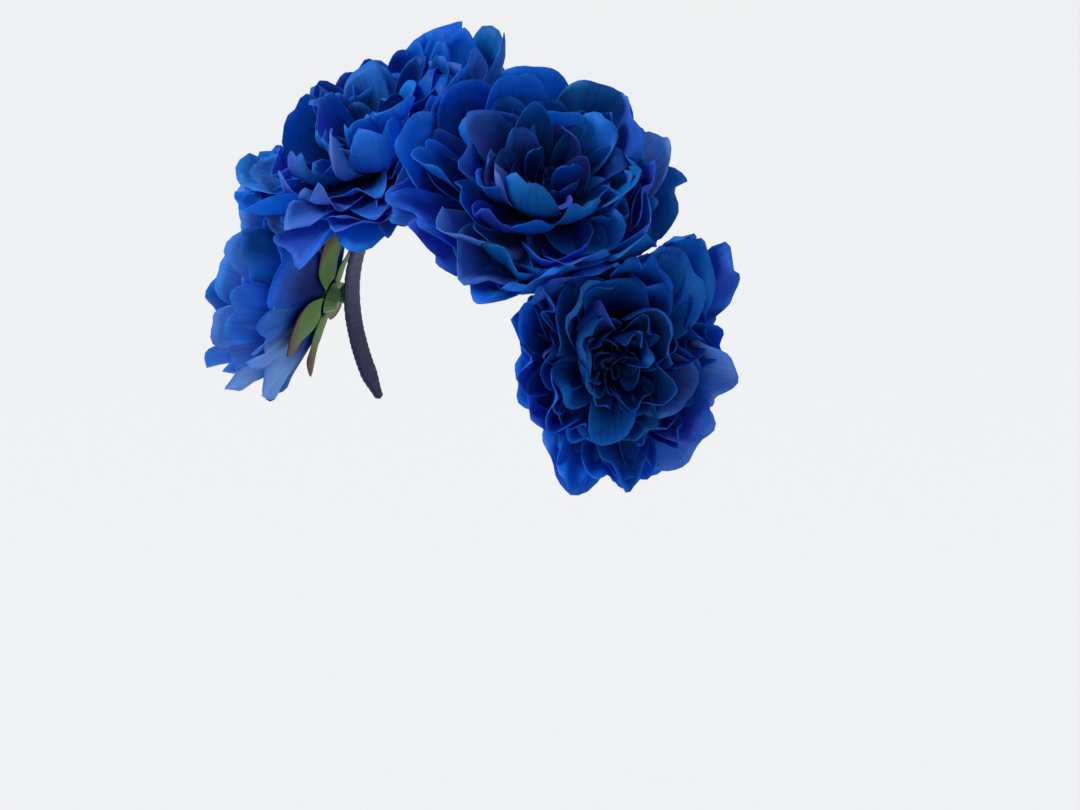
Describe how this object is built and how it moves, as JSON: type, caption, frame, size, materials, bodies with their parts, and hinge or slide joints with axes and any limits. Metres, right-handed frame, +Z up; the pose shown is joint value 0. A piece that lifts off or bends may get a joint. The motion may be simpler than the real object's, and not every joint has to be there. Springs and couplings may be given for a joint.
{
  "type": "flower headpiece",
  "caption": "Head band worn over the top of the head, with an arc of large royal-blue cloth peonies, each of nested petal rings on a green calyx.",
  "frame": {"origin": "middle of the head band's inner face, where the headpiece sits on the top of the head", "axes": "+Z up as worn, -Y the way the wearer faces, +X the wearer's left"},
  "size_m": [0.3298, 0.1441, 0.2287],
  "materials": {
    "petal_cloth_outer": "thin dyed polyester petal cloth, royal blue with azure and violet patches, matte satin",
    "petal_cloth_middle": "thin dyed polyester petal cloth, cobalt blue, matte satin",
    "petal_cloth_inner": "thin dyed polyester petal cloth, deep blue, matte satin",
    "sepal_cloth": "stiffened green cloth with red-brown tips, matte",
    "calyx_plastic": "moulded green plastic, satin",
    "band_ribbon": "navy ribbon wound over a plastic band, matte satin"
  },
  "bodies": {
    "root": {"headband": "band_ribbon", "right_low_calyx": "calyx_plastic", "right_low_sepals": "sepal_cloth", "right_low_petals_1": "petal_cloth_outer", "right_low_petals_2": "petal_cloth_outer", "right_low_petals_3": "petal_cloth_middle", "right_low_petals_4": "petal_cloth_middle", "right_low_petals_5": "petal_cloth_inner", "right_low_petals_6": "petal_cloth_inner", "right_low_heart": "petal_cloth_inner", "right_top_calyx": "calyx_plastic", "right_top_sepals": "sepal_cloth", "right_top_petals_1": "petal_cloth_outer", "right_top_petals_2": "petal_cloth_outer", "right_top_petals_3": "petal_cloth_middle", "right_top_petals_4": "petal_cloth_middle", "right_top_petals_5": "petal_cloth_inner", "right_top_petals_6": "petal_cloth_inner", "right_top_heart": "petal_cloth_inner", "left_top_calyx": "calyx_plastic", "left_top_sepals": "sepal_cloth", "left_top_petals_1": "petal_cloth_outer", "left_top_petals_2": "petal_cloth_outer", "left_top_petals_3": "petal_cloth_middle", "left_top_petals_4": "petal_cloth_middle", "left_top_petals_5": "petal_cloth_inner", "left_top_petals_6": "petal_cloth_inner", "left_top_heart": "petal_cloth_inner", "left_low_calyx": "calyx_plastic", "left_low_sepals": "sepal_cloth", "left_low_petals_1": "petal_cloth_outer", "left_low_petals_2": "petal_cloth_outer", "left_low_petals_3": "petal_cloth_middle", "left_low_petals_4": "petal_cloth_middle", "left_low_petals_5": "petal_cloth_inner", "left_low_petals_6": "petal_cloth_inner", "left_low_heart": "petal_cloth_inner"}
  },
  "joints": []
}
